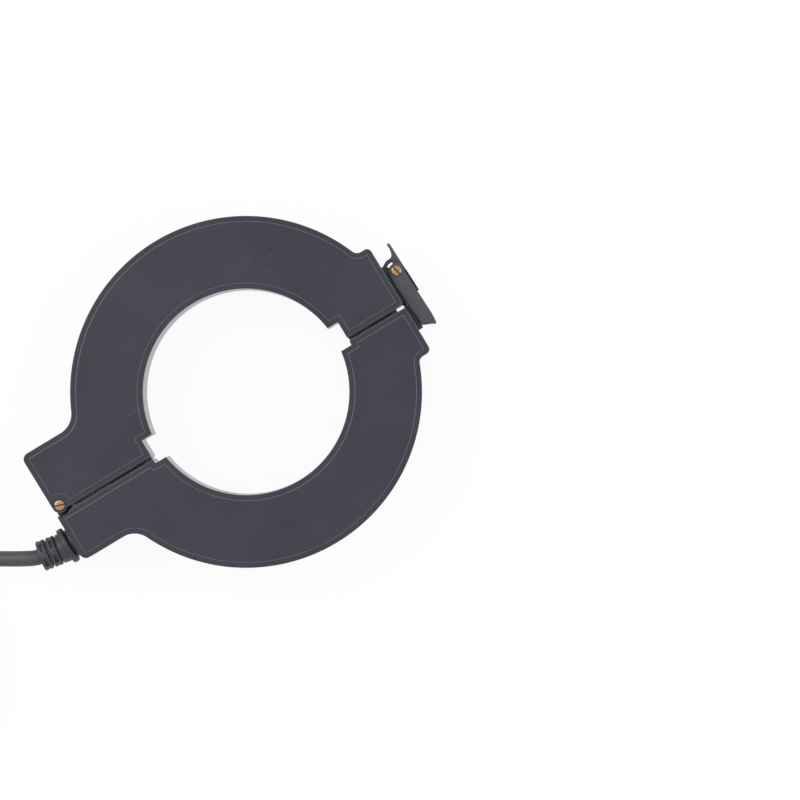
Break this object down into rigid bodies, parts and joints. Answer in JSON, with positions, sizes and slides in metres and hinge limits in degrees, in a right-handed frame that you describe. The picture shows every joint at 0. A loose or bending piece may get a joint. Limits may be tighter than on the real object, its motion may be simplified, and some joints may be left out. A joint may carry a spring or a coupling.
{
  "type": "current transformer",
  "caption": "Hinged split-core current transformer with a round bore, a snap latch lever, a ribbed strain relief and a coiled lead with a moulded plug.",
  "frame": {"origin": "centre of the bore in the plane of the back face, which lies on z = 0", "axes": "+Z along the bore towards the front face with the screw heads, +X along the split from the hinge to the latch, +Y towards the opening half"},
  "size_m": [0.4147, 0.1874, 0.0386],
  "materials": {
    "case_plastic": "fine moulded grain, dull",
    "latch_plastic": "smooth moulded, dull",
    "lever_plastic": "smooth moulded with a faint drawn sheen",
    "brass": "turned, slightly dull",
    "screw_steel": "zinc plated",
    "relief_rubber": "moulded, dull",
    "lead_jacket": "extruded jacket, soft sheen",
    "tie_strap": "woven strap",
    "plug_rubber": "moulded, dull",
    "plug_core": "moulded",
    "plug_metal": "nickel plated",
    "pin_gold": "gold plated",
    "core_steel": "wound strip, varnished",
    "winding_copper": "enamelled copper wire",
    "former_plastic": "natural nylon",
    "inner_plastic": "moulded",
    "board": "glass laminate with lacquer",
    "resistor": "lacquered",
    "wire_sleeve": "sleeved wire"
  },
  "bodies": {
    "lead_half": {"lower_case": "case_plastic", "lower_cover": "case_plastic", "lower_core": "core_steel", "winding_former": "former_plastic", "winding": "winding_copper", "terminal_board": "board", "burden_resistor": "resistor", "hookup_wires": "wire_sleeve", "keeper": "latch_plastic", "keeper_screws": "screw_steel", "strain_relief": "relief_rubber", "lead": "lead_jacket", "lead_coil": "lead_jacket", "lead_tail": "lead_jacket", "lead_tie": "tie_strap", "plug_grip": "plug_rubber", "plug_shroud": "plug_metal", "plug_insert": "plug_core", "plug_pins": "pin_gold"},
    "opening_half": {"upper_case": "case_plastic", "upper_cover": "case_plastic", "upper_core": "core_steel", "core_cradle": "inner_plastic", "hinge_sleeve": "brass", "hinge_screw": "brass", "latch_bracket": "latch_plastic", "bracket_screws": "screw_steel"},
    "latch": {"latch_lever": "lever_plastic", "latch_sleeve": "brass", "latch_screw": "brass"}
  },
  "joints": [
    {"name": "jaw_hinge", "type": "hinge", "parent": "lead_half", "child": "opening_half", "pos_m": [-0.11625, -0.0004, 0], "axis": [0, 0, 1], "range_deg": [0, 90]},
    {"name": "latch_pivot", "type": "hinge", "parent": "opening_half", "child": "latch", "pos_m": [0.10205, 0.0141, 0], "axis": [0, 0, 1], "range_deg": [-2, 26]}
  ]
}
